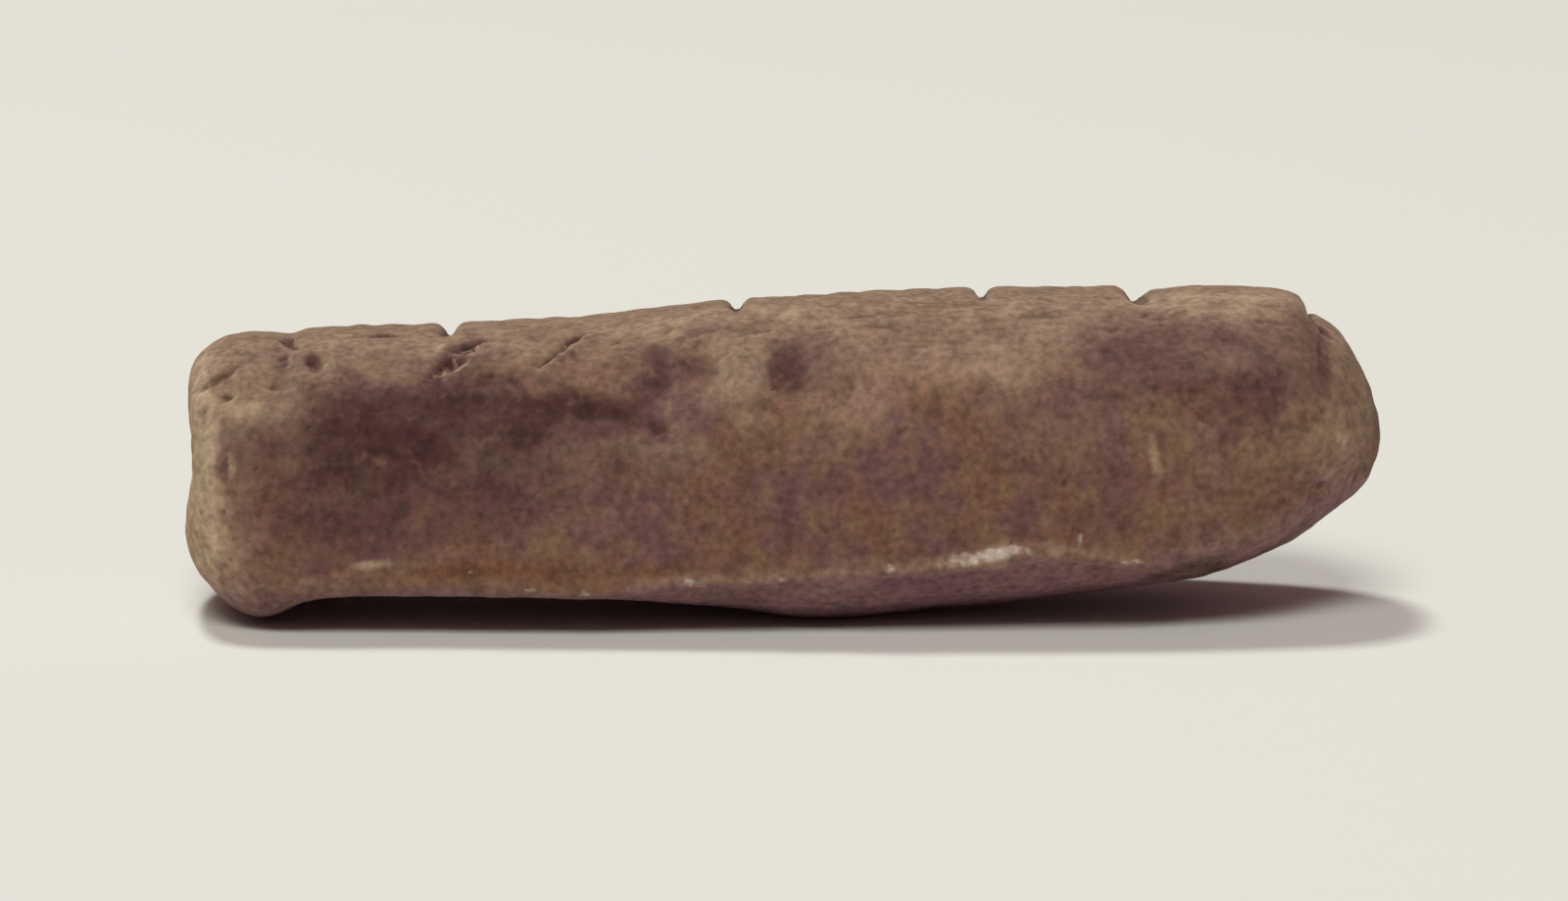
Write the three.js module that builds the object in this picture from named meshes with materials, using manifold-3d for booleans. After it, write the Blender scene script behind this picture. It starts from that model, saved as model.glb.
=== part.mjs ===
// A small clay seal: a bar with a rounded crown, flattened sides and a worn lower arris, one end
// squared and the other a rounded nose. It lies on its heel and belly, so the nose stands clear.
// +X runs along the length to the nose, +Z is up, and the origin is below the middle of the bar.
import * as THREE from "three";
import { mergeVertices } from "three/addons/utils/BufferGeometryUtils.js";
import Module from "manifold-3d";

// Driving dimensions, in millimetres.
const LENGTH = 50;
const DEPTH = 15.4;
const CROWN_HEIGHT = 13.42; // at the nose end, where the bar is tallest
const HEEL_HEIGHT = 11.58; // where the raised crown starts at the squared end
const BELLY_SINK = 0.16; // how far the rounded belly and heel are worn flat
const END_BOW = 0.6; // how much the squared end swells in the middle, seen from above
const RING_STEP = 1.2; // greatest distance between two rings of the skin

// How the section's half outline is divided, from the middle of the underside up to the crown.
const UNDERSIDE_STEPS = 4;
const SLOPE_STEPS = 4;
const SIDE_STEPS = 6;
const CROWN_STEPS = 14;
const UNDERSIDE_SHARE = 0.34; // part of the half depth that lies flat underneath
const ARRIS_SHARE = 0.965; // where the lower arris stands, as a part of the half depth
const SHOULDER_SHARE = 0.42; // where the side starts to turn in, between arris and crown
const CROWN_POWER = 2.35; // 2 would be an ellipse, and more is squarer
const SLOPE_BULGE = 0.22; // how far the slope under the arris swells out of a straight line

const halfDepth = DEPTH / 2;

// The ribs that the skin runs through, from the squared end to the nose. Each has a point on the
// crown and one on the keel, as [x, z], then the arris height, the half depth as a part of the
// full one, and how far the lower half is rounded rather than creased.
const ribs = [
  { crown: [-24.6, 6.4], keel: [-24.6, 6.4], arris: 6.4, width: 0, round: 1 },
  { crown: [-24.7, 9.6], keel: [-24.95, 3.3], arris: 4.0, width: 0.7, round: 1 },
  { crown: [-24.3, 10.75], keel: [-24.35, 1.5], arris: 2.5, width: 0.89, round: 0.9 },
  { crown: [-23.2, 11.34], keel: [-23.0, 0.2], arris: 1.3, width: 0.96, round: 0.6 },
  { crown: [-21.7, 11.45], keel: [-21.9, -BELLY_SINK], arris: 0.9, width: 0.98, round: 0.4 },
  { crown: [-20.6, 11.34], keel: [-20.9, 0.1], arris: 1.2, width: 0.985, round: 0.2 },
  { crown: [-20.0, HEEL_HEIGHT], keel: [-19.9, 0.7], arris: 1.45, width: 0.99, round: 0.1 },
  { crown: [-17.5, 11.73], keel: [-18.3, 1.15], arris: 1.7, width: 0.99, round: 0 },
  { crown: [-13.5, 11.82], keel: [-13.5, 1.3], arris: 1.75, width: 0.99, round: 0 },
  { crown: [-8.0, 12.17], keel: [-8.0, 1.0], arris: 1.75, width: 1, round: 0 },
  { crown: [-2.6, 12.8], keel: [-2.6, 0.4], arris: 2.15, width: 1, round: 0 },
  { crown: [2.5, 13.1], keel: [2.0, -BELLY_SINK], arris: 2.6, width: 1, round: 0 },
  { crown: [8.0, 13.27], keel: [7.0, 0.4], arris: 3.2, width: 1, round: 0 },
  { crown: [14.0, 13.38], keel: [12.5, 0.95], arris: 3.3, width: 0.98, round: 0.05 },
  { crown: [18.5, CROWN_HEIGHT], keel: [17.2, 1.5], arris: 3.3, width: 0.93, round: 0.3 },
  { crown: [21.3, 13.2], keel: [20.3, 2.5], arris: 4.0, width: 0.83, round: 0.6 },
  { crown: [22.3, 12.2], keel: [21.5, 3.1], arris: 4.5, width: 0.745, round: 0.76 },
  { crown: [23.28, 11.56], keel: [22.6, 3.85], arris: 5.0, width: 0.64, round: 0.9 },
  { crown: [24.52, 9.3], keel: [24.4, 5.35], arris: 6.2, width: 0.37, round: 1 },
  { crown: [LENGTH / 2, 7.1], keel: [LENGTH / 2, 7.1], arris: 7.1, width: 0, round: 1 },
];

// Broad shallow hollows pressed or worn into the sides: centre as [x, z], which side it is on,
// its half width and half height, and its depth. A negative depth is a swelling.
const FRONT = -1;
const BACK = 1;
const hollows = [
  { at: [-4.9, 10.9], side: FRONT, size: [1.9, 1.5], depth: 0.42 },
  { at: [-2.6, 10.6], side: FRONT, size: [1.3, 1.3], depth: 0.22 },
  { at: [0.35, 11.3], side: FRONT, size: [1.2, 1.5], depth: 0.36 },
  { at: [-7.4, 9.0], side: FRONT, size: [3.6, 1.1], depth: 0.34 },
  { at: [-16.5, 8.2], side: FRONT, size: [5.0, 2.6], depth: 0.28 },
  { at: [3.0, 8.6], side: FRONT, size: [5.0, 1.8], depth: -0.2 },
  { at: [20.5, 10.6], side: FRONT, size: [2.6, 1.9], depth: 0.3 },
  { at: [-12.0, 9.4], side: BACK, size: [4.2, 2.2], depth: 0.36 },
  { at: [8.5, 8.0], side: BACK, size: [5.0, 2.4], depth: 0.32 },
];

// Straight V cuts. Each runs between two points of the crown, given as [x, y].
const crossCuts = [
  { x: -14.0, width: 1.1, depth: 0.6, front: -2.3 },
  { x: -1.95, width: 1.05, depth: 0.4, front: -2.0 },
  { x: 8.3, width: 1.05, depth: 0.4, front: -2.0 },
  { x: 14.7, width: 1.35, depth: 0.6, front: -2.3 },
  { x: 21.95, width: 0.8, depth: 0.4, front: -3.4 },
];
const crossCutEnd = 5.4; // how far the cross cuts run out over the back shoulder
const lines = [
  { from: [-19.4, -1.45], to: [-14.9, -1.65], width: 0.55, depth: 0.16 },
  { from: [1.5, -3.35], to: [4.8, -3.05], width: 0.5, depth: 0.12 },
  { from: [4.4, -1.5], to: [9.8, -2.55], width: 0.55, depth: 0.16 },
  { from: [-20.0, 3.3], to: [-14.9, 3.2], width: 0.65, depth: 0.2 },
  { from: [-13.0, 3.2], to: [-2.9, 3.3], width: 0.65, depth: 0.2 },
  { from: [-1.0, 3.3], to: [7.4, 3.3], width: 0.65, depth: 0.2 },
  { from: [9.2, 3.3], to: [20.6, 3.1], width: 0.65, depth: 0.2 },
];
const furrows = [
  { from: [-12.1, -2.8], to: [-14.5, -5.6], width: 1.1, depth: 0.4 },
  { from: [-7.7, -2.4], to: [-10.4, -5.7], width: 1.0, depth: 0.34 },
  { from: [-22.3, -4.0], to: [-24.2, -4.2], width: 0.6, depth: 0.22 },
  { from: [-10.2, 4.0], to: [-12.4, 6.6], width: 0.8, depth: 0.34 },
  { from: [5.2, 4.0], to: [3.2, 6.6], width: 0.8, depth: 0.34 },
];
// Short slanted strokes on the crown, one row to each panel between two cross cuts.
const strokeRows = [
  { from: -19.2, to: -15.0, count: 3 },
  { from: -12.8, to: -3.2, count: 6 },
  { from: -0.6, to: 7.0, count: 5 },
  { from: 9.5, to: 13.6, count: 3 },
];
const SWEEP_STEP = 1.2; // greatest length of one step of a cut
const FADE = 5; // how soon a cut reaches its full depth from either end
const NUDGE = 0.01; // small step that finds how the crown leans
const CUTTER_LIFT = 0.5; // how far a cutter stands out of the clay
const STROKE = { lean: 1.1, inner: 0.5, outer: 2.6, width: 0.55, depth: 0.2 };

const wasm = await Module();
wasm.setup();

// One smooth value through all the ribs, read at a place from 0, the squared end, to 1, the nose.
function alongRibs(valueOf) {
  const curve = new THREE.SplineCurve(ribs.map((rib) => new THREE.Vector2(...valueOf(rib))));
  return (place) => curve.getPoint(place);
}
const crownAt = alongRibs((rib) => rib.crown);
const keelAt = alongRibs((rib) => rib.keel);
const arrisAndWidthAt = alongRibs((rib) => [rib.arris, rib.width]);
const roundAt = alongRibs((rib) => [rib.round, 0]);

// The rib section at one place along the bar, as numbers that sectionPoint reads.
function sectionAt(place) {
  const crown = crownAt(place);
  const keel = keelAt(place);
  const { x: arris, y: width } = arrisAndWidthAt(place);
  return {
    crown,
    keel,
    arris,
    half: halfDepth * THREE.MathUtils.clamp(width, 0, 1),
    round: THREE.MathUtils.clamp(roundAt(place).x, 0, 1),
    shoulder: arris + SHOULDER_SHARE * (crown.y - arris),
  };
}

// Half outline of a section, from the middle of the underside to the crown: [y, z] for each step.
function halfOutline({ crown, keel, arris, half, round, shoulder }) {
  const lerp = THREE.MathUtils.lerp;
  const outline = [];
  const lowerSteps = UNDERSIDE_STEPS + SLOPE_STEPS + SIDE_STEPS;
  const creased = (step) => {
    if (step <= UNDERSIDE_STEPS) return [(UNDERSIDE_SHARE * half * step) / UNDERSIDE_STEPS, keel.y];
    const slope = Math.min(1, (step - UNDERSIDE_STEPS) / SLOPE_STEPS);
    if (slope < 1) {
      const bulge = SLOPE_BULGE * Math.sin(Math.PI * slope);
      return [
        half * (lerp(UNDERSIDE_SHARE, ARRIS_SHARE, slope) + bulge * 0.5),
        lerp(keel.y, arris, slope * slope * 0.35 + slope * 0.65),
      ];
    }
    const rise = (step - UNDERSIDE_STEPS - SLOPE_STEPS) / SIDE_STEPS;
    return [half * lerp(ARRIS_SHARE, 1, Math.sin((Math.PI / 2) * rise)), lerp(arris, shoulder, rise)];
  };
  for (let step = 0; step < lowerSteps; step++) {
    const turn = ((Math.PI / 2) * step) / lowerSteps;
    const rounded = [half * Math.sin(turn), shoulder - (shoulder - keel.y) * Math.cos(turn)];
    const sharp = creased(step);
    outline.push([lerp(sharp[0], rounded[0], round), lerp(sharp[1], rounded[1], round)]);
  }
  for (let step = 0; step <= CROWN_STEPS; step++) {
    const turn = ((Math.PI / 2) * step) / CROWN_STEPS;
    const power = 2 / CROWN_POWER;
    outline.push([
      half * Math.cos(turn) ** power,
      shoulder + (crown.y - shoulder) * Math.sin(turn) ** power,
    ]);
  }
  outline[outline.length - 1][0] = 0;
  return outline;
}

// How far the hollows push the skin in at one point of a side.
function hollowDepth(x, y, z) {
  return hollows.reduce((sum, { at, side, size, depth }) => {
    if (y * side <= 0) return sum;
    const away = ((x - at[0]) / size[0]) ** 2 + ((z - at[1]) / size[1]) ** 2;
    return sum + depth * Math.exp(-away);
  }, 0);
}

// One closed ring of the skin, as Vector3 points that run from the keel up the back to the crown
// and down the front.
function ringAt(place) {
  const section = sectionAt(place);
  const { crown, keel } = section;
  const outline = halfOutline(section);
  const toPoint = (side) => ([y, z]) => {
    const height = (z - keel.y) / (crown.y - keel.y);
    const nearSquaredEnd = place < 0.5;
    const bow = nearSquaredEnd ? END_BOW * section.round * (y / halfDepth) ** 2 : 0;
    const x = THREE.MathUtils.lerp(keel.x, crown.x, height) + bow;
    return new THREE.Vector3(x, side * (y - hollowDepth(x, side * y, z)), z);
  };
  const back = outline.map(toPoint(BACK));
  const front = outline.slice(1, -1).map(toPoint(FRONT)).reverse();
  back[0].y = 0;
  back[back.length - 1].y = 0;
  return back.concat(front);
}

// The places of all rings but the two end points, so that no gap is wider than RING_STEP.
function ringPlaces() {
  const stretches = ribs.length - 1;
  const places = [];
  for (let i = 0; i < stretches; i++) {
    const from = crownAt(i / stretches);
    const to = crownAt((i + 1) / stretches);
    const steps = Math.max(2, Math.ceil(from.distanceTo(to) / RING_STEP));
    for (let step = 0; step < steps; step++) places.push((i + step / steps) / stretches);
  }
  return places.slice(1);
}

// The whole skin as one closed geometry: rings joined by quads, and a fan at each end point.
function skinGeometry() {
  const rings = ringPlaces().map(ringAt);
  const around = rings[0].length;
  const points = [new THREE.Vector3(crownAt(0).x, 0, crownAt(0).y), ...rings.flat()];
  points.push(new THREE.Vector3(crownAt(1).x, 0, crownAt(1).y));
  const last = points.length - 1;
  const index = [];
  const corner = (ring, step) => 1 + ring * around + (step % around);
  for (let step = 0; step < around; step++) {
    index.push(0, corner(0, step + 1), corner(0, step));
    index.push(last, corner(rings.length - 1, step), corner(rings.length - 1, step + 1));
    for (let ring = 0; ring + 1 < rings.length; ring++) {
      const [a, b] = [corner(ring, step), corner(ring, step + 1)];
      const [c, d] = [corner(ring + 1, step), corner(ring + 1, step + 1)];
      index.push(a, b, c, b, d, c);
    }
  }
  return new THREE.BufferGeometry().setFromPoints(points).setIndex(index);
}

// A manifold-3d solid of a closed three.js geometry.
function solidOf(geometry) {
  const bare = geometry.clone();
  bare.deleteAttribute("normal");
  bare.deleteAttribute("uv");
  const merged = mergeVertices(bare, 1e-4);
  return new wasm.Manifold(
    new wasm.Mesh({
      numProp: 3,
      vertProperties: merged.getAttribute("position").array,
      triVerts: new Uint32Array(merged.index.array),
    }),
  );
}

// A three.js geometry of a manifold-3d solid.
function geometryOf(solid) {
  const { vertProperties, triVerts } = solid.getMesh();
  const geometry = new THREE.BufferGeometry();
  geometry.setAttribute("position", new THREE.BufferAttribute(vertProperties, 3));
  return geometry.setIndex(new THREE.BufferAttribute(triVerts, 1)).toNonIndexed();
}

// The skin's height above a point [x, y], found on the ring that passes over it.
function pointOnCrown([x, y]) {
  let [low, high] = [0, 1];
  while (high - low > 1e-5) {
    const middle = (low + high) / 2;
    if (crownAt(middle).x < x) low = middle;
    else high = middle;
  }
  const { crown, half, shoulder } = sectionAt(low);
  const level = (1 - Math.min(1, Math.abs(y) / half) ** CROWN_POWER) ** (1 / CROWN_POWER);
  return new THREE.Vector3(x, y, shoulder + (crown.y - shoulder) * level);
}

// A V-shaped cutter swept along the crown between two points. Its depth fades out at both ends.
function vCutter(from, to, width, depth) {
  const [start, end] = [new THREE.Vector2(...from), new THREE.Vector2(...to)];
  const steps = Math.max(3, Math.ceil(start.distanceTo(end) / SWEEP_STEP));
  const heading = end.clone().sub(start).normalize();
  const points = [];
  for (let step = 0; step <= steps; step++) {
    const [x, y] = start.clone().lerp(end, step / steps).toArray();
    const fade = Math.min(1, 0.15 + (FADE * Math.min(step, steps - step)) / steps);
    const on = pointOnCrown([x, y]);
    const alongX = pointOnCrown([x + NUDGE, y]).sub(on);
    const alongY = pointOnCrown([x, y + NUDGE]).sub(on);
    const outward = alongX.clone().cross(alongY).normalize();
    const along = alongX.multiplyScalar(heading.x).addScaledVector(alongY, heading.y);
    const across = along.cross(outward).normalize();
    const spread = (width / 2) * (fade + CUTTER_LIFT / depth);
    points.push(on.clone().addScaledVector(outward, -depth * fade));
    for (const side of [1, -1])
      points.push(
        on.clone().addScaledVector(outward, CUTTER_LIFT).addScaledVector(across, side * spread),
      );
  }
  const index = [0, 1, 2];
  for (let step = 0; step < steps; step++)
    for (let corner = 0; corner < 3; corner++) {
      const [a, b] = [3 * step + corner, 3 * step + ((corner + 1) % 3)];
      index.push(a, a + 3, b, b, a + 3, b + 3);
    }
  const last = 3 * steps;
  index.push(last, last + 2, last + 1);
  return solidOf(new THREE.BufferGeometry().setFromPoints(points).setIndex(index));
}

// Every cut on the crown and the shoulders.
function allCutters() {
  const cutters = crossCuts.map(({ x, width, depth, front }) =>
    vCutter([x, front], [x, crossCutEnd], width, depth),
  );
  for (const { from, to, width, depth } of lines.concat(furrows))
    cutters.push(vCutter(from, to, width, depth));
  for (const { from, to, count } of strokeRows)
    for (let i = 0; i < count; i++) {
      const x = from + ((to - from) * (i + 0.5)) / count;
      const [inner, outer] = [[x - STROKE.lean / 2, STROKE.inner], [x + STROKE.lean / 2, STROKE.outer]];
      cutters.push(vCutter(inner, outer, STROKE.width, STROKE.depth));
    }
  return cutters;
}

// The finished seal: the skin, less its cuts and whatever the ground has worn flat.
function sealSolid() {
  const ground = new THREE.BoxGeometry(2 * LENGTH, 2 * DEPTH, LENGTH);
  const worn = solidOf(ground.translate(0, 0, -LENGTH / 2));
  const uncut = solidOf(skinGeometry()).subtract(worn);
  return allCutters().reduce((rest, cutter) => rest.subtract(cutter), uncut);
}

const firedClay = new THREE.MeshStandardMaterial({ color: "#7b6051", roughness: 0.92, metalness: 0 });
const body = new THREE.Mesh(geometryOf(sealSolid()), firedClay);
body.name = "seal_body";
body.geometry.computeBoundingBox();
const middle = body.geometry.boundingBox.getCenter(new THREE.Vector3());
body.position.set(-middle.x, -middle.y, 0);

const seal = new THREE.Group();
seal.add(body);

export default seal;
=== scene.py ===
"""A small seal of low-fired clay, lying on a pale table.

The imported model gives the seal's place and size. The visible skin starts as a fine copy of that
solid, then gets the relief that a hand, a stylus, the kiln and long wear left on it.
"""

import logging
import math
from dataclasses import dataclass, field
from enum import Enum

import bpy
import numpy as np
from mathutils import Matrix, Vector
from mathutils.bvhtree import BVHTree


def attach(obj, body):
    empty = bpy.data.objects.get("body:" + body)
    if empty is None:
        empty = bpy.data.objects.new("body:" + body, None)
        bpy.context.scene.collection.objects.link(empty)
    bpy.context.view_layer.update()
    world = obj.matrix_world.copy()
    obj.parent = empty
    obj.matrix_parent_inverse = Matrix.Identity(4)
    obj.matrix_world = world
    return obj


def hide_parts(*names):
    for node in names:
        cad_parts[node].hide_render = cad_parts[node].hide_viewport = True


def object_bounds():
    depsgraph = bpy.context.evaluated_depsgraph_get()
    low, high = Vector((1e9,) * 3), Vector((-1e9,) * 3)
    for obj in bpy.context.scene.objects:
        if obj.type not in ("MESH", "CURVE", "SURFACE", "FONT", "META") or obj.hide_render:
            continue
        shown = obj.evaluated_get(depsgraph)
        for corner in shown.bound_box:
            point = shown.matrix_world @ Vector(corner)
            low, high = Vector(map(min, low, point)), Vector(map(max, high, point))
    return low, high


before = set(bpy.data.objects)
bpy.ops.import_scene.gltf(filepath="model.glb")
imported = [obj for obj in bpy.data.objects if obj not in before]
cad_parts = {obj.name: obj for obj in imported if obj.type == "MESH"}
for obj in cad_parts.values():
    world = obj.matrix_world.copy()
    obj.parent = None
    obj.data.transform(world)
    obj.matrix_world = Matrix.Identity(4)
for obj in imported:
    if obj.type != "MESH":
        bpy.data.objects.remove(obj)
CAD_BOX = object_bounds()

MM = 0.001
log = logging.getLogger("clay_seal")

# A place is a pair of shares of the seal's box: along from the squared end, then up from the
# ground, or across from the front on the crown and underside. On the squared end it is across
# from the front, then up.
Place = tuple[float, float]
# A span is a least and a greatest value.
Span = tuple[float, float]


def linear(colour: str) -> tuple[float, float, float, float]:
    """Turn an sRGB hex colour into linear light.

    Args:
        colour: Six hex digits, with or without a leading #.

    Returns:
        Red, green, blue and an alpha of 1.
    """
    digits = colour.lstrip("#")
    shares = [int(digits[i:i + 2], 16) / 255 for i in (0, 2, 4)]
    light = [s / 12.92 if s <= 0.04045 else ((s + 0.055) / 1.055) ** 2.4 for s in shares]
    return (light[0], light[1], light[2], 1.0)


def find_socket(sockets: bpy.types.bpy_prop_collection, key: str) -> bpy.types.NodeSocket:
    """Find a node's socket.

    Args:
        sockets: A node's inputs or outputs.
        key: The socket's identifier, or its name where no identifier matches.

    Returns:
        The socket.
    """
    for socket in sockets:
        if socket.identifier == key:
            return socket
    return next(s for s in sockets if s.name == key and s.enabled)


def add_node(
    tree: bpy.types.NodeTree, kind: str, settings: dict | None = None, inputs: dict | None = None
) -> bpy.types.Node:
    """Add one node to a tree.

    Args:
        tree: The tree that gets the node.
        kind: The node's type name.
        settings: Property values, set before the inputs.
        inputs: A value or an output socket for each input, by identifier or name.

    Returns:
        The new node.
    """
    node = tree.nodes.new(kind)
    for name, value in (settings or {}).items():
        setattr(node, name, value)
    for key, value in (inputs or {}).items():
        socket = find_socket(node.inputs, key)
        if isinstance(value, bpy.types.NodeSocket):
            tree.links.new(value, socket)
        else:
            socket.default_value = value
    return node


def smoothstep(low: float, high: float, values: np.ndarray) -> np.ndarray:
    """Ease values from 0 at low to 1 at high."""
    share = np.clip((values - low) / (high - low), 0.0, 1.0)
    return share * share * (3.0 - 2.0 * share)


class Side(Enum):
    """The side of the seal that a mark lies on, with the direction one looks along to see it."""

    CROWN = (0.0, 0.0, -1.0)
    FRONT = (0.0, 1.0, 0.0)
    BACK = (0.0, -1.0, 0.0)
    UNDER = (0.0, 0.0, 1.0)
    SQUARE_END = (1.0, 0.0, 0.0)


@dataclass(frozen=True)
class Cut:
    """A line scored, pressed or worn into the clay, or a ridge where depth is negative.

    Width and depth are in millimetres, and fade is the share of the line that each end takes to
    reach its full depth.
    """

    route: tuple[Place, ...]
    width: float
    depth: float
    fade: float = 0.2


@dataclass(frozen=True)
class Hollow:
    """A broad dent, or a swelling where depth is negative.

    Half sizes and depth are in millimetres, and tilt is in degrees.
    """

    place: Place
    left: float
    right: float
    down: float
    up: float
    depth: float
    tilt: float = 0.0


class Tint(Enum):
    """Stains, and painted light and shade, on the clay. The value names the mesh attribute that
    holds it.
    """

    # Pale worn clay, and painted light on the crown, the squared end and the heel.
    BUFF_AND_PAINTED_LIGHT = "buff"
    # Pinkish clay, and painted highlights along the lower edge.
    BLUSH_AND_PAINTED_HIGHLIGHT = "blush"
    OLIVE = "olive"
    RUST = "rust"
    # Purplish blotches, and painted shade on the lower facet.
    PLUM_AND_PAINTED_SHADE = "plum"
    # Painted shade on the lower facet and the underside.
    PAINTED_UNDERSIDE_SHADE = "lilac"
    # Smoke clouds, and painted shade in the dents, on the lower edge and below.
    SMOKE = "smoke"
    # Whitish wear, and painted light on the crown's lip, the left end and the heel.
    BONE = "bone"
    LIME = "lime"


@dataclass(frozen=True)
class Patch:
    """A soft-edged patch of one tint. Half sizes are in millimetres, and tilt is in degrees."""

    place: Place
    width: float
    height: float
    strength: float
    tilt: float = 0.0


class Skin:
    """The seal's fine mesh as arrays, with the means to find places on it."""

    wave_seed = 41
    wave_count = 9
    wave_spread = (0.6, 1.6)  # shortest and longest wave, as parts of the usual length
    waves = ((3.4, 0.5), (1.2, 0.22))  # usual length and reach, in millimetres
    free_size = 1.6  # a mark of this half size or more wanders fully, in millimetres
    edge_of_side = 0.6  # how far the skin has to face a side to be wholly on it
    look_from = 100.0  # how far off a place is looked at from, in millimetres

    def __init__(self, piece: bpy.types.Object) -> None:
        """Read a piece's mesh.

        Args:
            piece: The object that holds the mesh.
        """
        self.piece = piece
        self.mesh = piece.data
        low, high = CAD_BOX
        self.low = np.array(low)
        self.high = np.array(high)
        self.read()

    def read(self) -> None:
        """Fetch points, normals and edges from the mesh, and build the search tree."""
        count = len(self.mesh.vertices)
        self.points = np.empty(count * 3)
        self.mesh.vertices.foreach_get("co", self.points)
        self.points = self.points.reshape(-1, 3)
        self.normals = np.empty(count * 3)
        self.mesh.vertices.foreach_get("normal", self.normals)
        self.normals = self.normals.reshape(-1, 3)
        self.edges = np.empty(len(self.mesh.edges) * 2, dtype=np.int64)
        self.mesh.edges.foreach_get("vertices", self.edges)
        self.edges = self.edges.reshape(-1, 2)
        self.shift = sum(self.wander(size, reach) for size, reach in self.waves)
        bpy.context.view_layer.update()
        self.tree = BVHTree.FromObject(self.piece, bpy.context.evaluated_depsgraph_get())

    def wander(self, size: float, reach: float) -> np.ndarray:
        """Find how far slow waves shift each point, so that no mark on the skin is regular.

        Args:
            size: The waves' usual length, in millimetres.
            reach: How far a point usually seems to move, in millimetres.

        Returns:
            Three columns of millimetres.
        """
        draw = np.random.default_rng(self.wave_seed)
        shift = np.zeros_like(self.points)
        for _ in range(self.wave_count):
            way = draw.normal(size=3)
            length = size * MM * draw.uniform(*self.wave_spread) * np.linalg.norm(way)
            turns = self.points @ way * (2 * math.pi / length) + draw.uniform(0, 2 * math.pi)
            shift += np.sin(turns)[:, None] * draw.normal(size=3)
        return shift * reach / math.sqrt(self.wave_count)

    def write(self) -> None:
        """Put the points back in the mesh, then read its normals again."""
        self.mesh.vertices.foreach_set("co", self.points.ravel())
        self.mesh.update()
        self.read()

    def average(self, points: np.ndarray) -> np.ndarray:
        """Find the mean of each vertex's neighbours.

        Args:
            points: Rows of numbers, one for each vertex.

        Returns:
            The means, in rows of the same length.
        """
        start, end = self.edges.T
        count = len(points)
        links = np.bincount(start, minlength=count) + np.bincount(end, minlength=count)
        total = np.empty_like(points)
        for axis in range(points.shape[1]):
            total[:, axis] = np.bincount(start, points[end, axis], count)
            total[:, axis] += np.bincount(end, points[start, axis], count)
        return total / links[:, None]

    def smoothed(self, passes: int, shrink: float = 0.5, swell: float = 0.52) -> np.ndarray:
        """Smooth the points without losing volume.

        Args:
            passes: How many times a shrinking and a swelling step are made.
            shrink: Share of the way to the neighbours' mean in a shrinking step.
            swell: Share of the way back out in a swelling step.

        Returns:
            The smoothed points.
        """
        points = self.points.copy()
        for _ in range(passes):
            points += shrink * (self.average(points) - points)
            points -= swell * (self.average(points) - points)
        return points

    def flat_place(self, side: Side, place: Place) -> np.ndarray:
        """Turn a place's two shares into a point level with it inside the box.

        Args:
            side: The side that the place is seen from.
            place: The place's two shares of the box.

        Returns:
            The point, in metres.
        """
        first, second = place
        if side is Side.SQUARE_END:
            shares = (0.0, first, second)
        elif side in (Side.CROWN, Side.UNDER):
            shares = (first, second, 0.5)
        else:
            shares = (first, 0.5, second)
        return self.low + (self.high - self.low) * np.array(shares)

    def point(self, side: Side, place: Place) -> Vector:
        """Find where a place lies on the skin.

        Args:
            side: The side that the place is seen from.
            place: The place's two shares of the box.

        Returns:
            The point on the skin, in metres.
        """
        look = Vector(side.value)
        start = Vector(self.flat_place(side, place)) - look * self.look_from * MM
        hit = self.tree.ray_cast(start, look)[0]
        if hit is None:
            log.warning("no clay at %s %s, so the nearest point is taken", side.name, place)
            hit = self.tree.find_nearest(start)[0]
        return hit

    def offsets(self, side: Side, place: Place, tilt: float, size: float) -> np.ndarray:
        """Measure every vertex from a place, in the plane of its side.

        Args:
            side: The side that the place lies on.
            place: The place's two shares of the box.
            tilt: How far the first axis is turned up from the horizontal, in degrees.
            size: The mark's smallest half size in millimetres. A small mark wanders less.

        Returns:
            Two columns of millimetres: along the tilted axis, and square to it.
        """
        away = (self.points - self.flat_place(side, place)) / MM
        away += self.shift * min(1.0, size / self.free_size)
        if side is Side.SQUARE_END:
            first, second = away[:, 1], away[:, 2]
        elif side in (Side.CROWN, Side.UNDER):
            first, second = away[:, 0], away[:, 1]
        else:
            first, second = away[:, 0], away[:, 2]
        cos, sin = math.cos(math.radians(tilt)), math.sin(math.radians(tilt))
        return np.stack([first * cos + second * sin, second * cos - first * sin], axis=1)

    def facing(self, side: Side) -> np.ndarray:
        """Tell how far each vertex faces a side, from 0 to 1, with a soft change at its edge."""
        return smoothstep(0.0, self.edge_of_side, self.normals @ -np.array(side.value))

    def dent(self, side: Side, hollow: Hollow) -> None:
        """Push one hollow into the points, or raise a swelling.

        Args:
            side: The side that it lies on.
            hollow: The hollow.
        """
        size = min(hollow.left, hollow.right, hollow.down, hollow.up)
        across, over = self.offsets(side, hollow.place, hollow.tilt, size).T
        wide = np.where(across < 0, hollow.left, hollow.right)
        tall = np.where(over < 0, hollow.down, hollow.up)
        share = np.exp(-((across / wide) ** 2) - (over / tall) ** 2) * self.facing(side)
        self.points -= self.normals * (share * hollow.depth * MM)[:, None]

    def store(self, name: str, values: np.ndarray) -> None:
        """Keep one number for each vertex in the mesh.

        Args:
            name: The attribute's name.
            values: The numbers.
        """
        if name in self.mesh.attributes:
            self.mesh.attributes.remove(self.mesh.attributes[name])
        layer = self.mesh.attributes.new(name, "FLOAT", "POINT")
        layer.data.foreach_set("value", values.astype(np.float32))


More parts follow.
